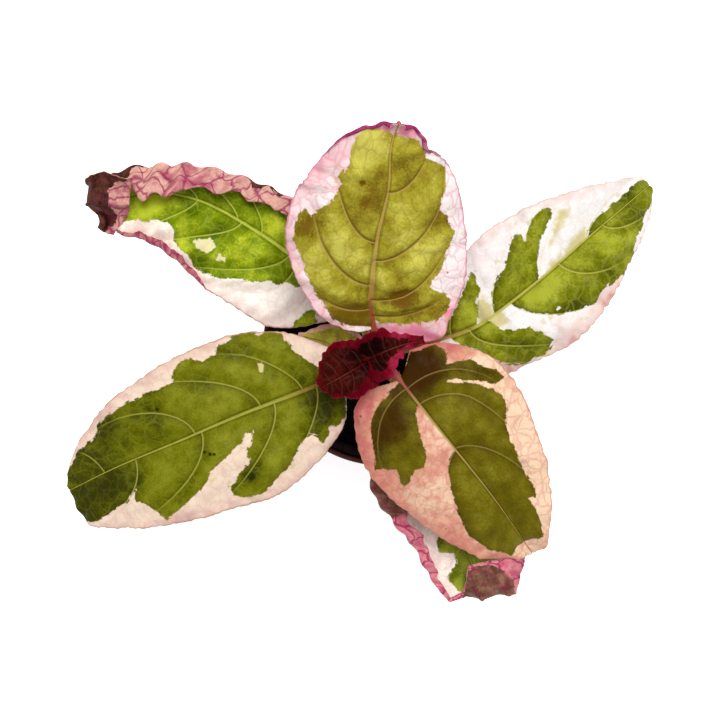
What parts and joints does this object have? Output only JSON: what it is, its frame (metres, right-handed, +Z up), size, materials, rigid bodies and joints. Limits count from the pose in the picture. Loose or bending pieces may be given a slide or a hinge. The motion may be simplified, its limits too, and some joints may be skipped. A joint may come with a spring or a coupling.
{
  "type": "potted waffle plant",
  "caption": "Young variegated waffle plant with broad puckered leaves on a short stem, growing in a small round nursery pot, to stand on a shelf or desk.",
  "frame": {"origin": "centre of the pot's flat base", "axes": "+Z up out of the pot, +X to the picture's right, +Y to the picture's top edge, which is the plant's back"},
  "size_m": [0.1735, 0.1358, 0.1403],
  "materials": {
    "pot": "satin",
    "soil": "matte",
    "stem": "satin",
    "leaf_back": "satin",
    "leaf_front": "satin",
    "leaf_left": "satin",
    "leaf_right": "satin",
    "leaf_back_left": "satin",
    "leaf_lower_front": "satin",
    "leaf_small": "satin",
    "leaf_young_left": "satin",
    "leaf_young_right": "satin"
  },
  "bodies": {
    "root": {"pot": "pot", "soil": "soil", "stem": "stem", "leaf_back": "leaf_back", "leaf_front": "leaf_front", "leaf_left": "leaf_left", "leaf_right": "leaf_right", "leaf_back_left": "leaf_back_left", "leaf_lower_front": "leaf_lower_front", "leaf_small": "leaf_small", "leaf_young_left": "leaf_young_left", "leaf_young_right": "leaf_young_right"}
  },
  "joints": []
}
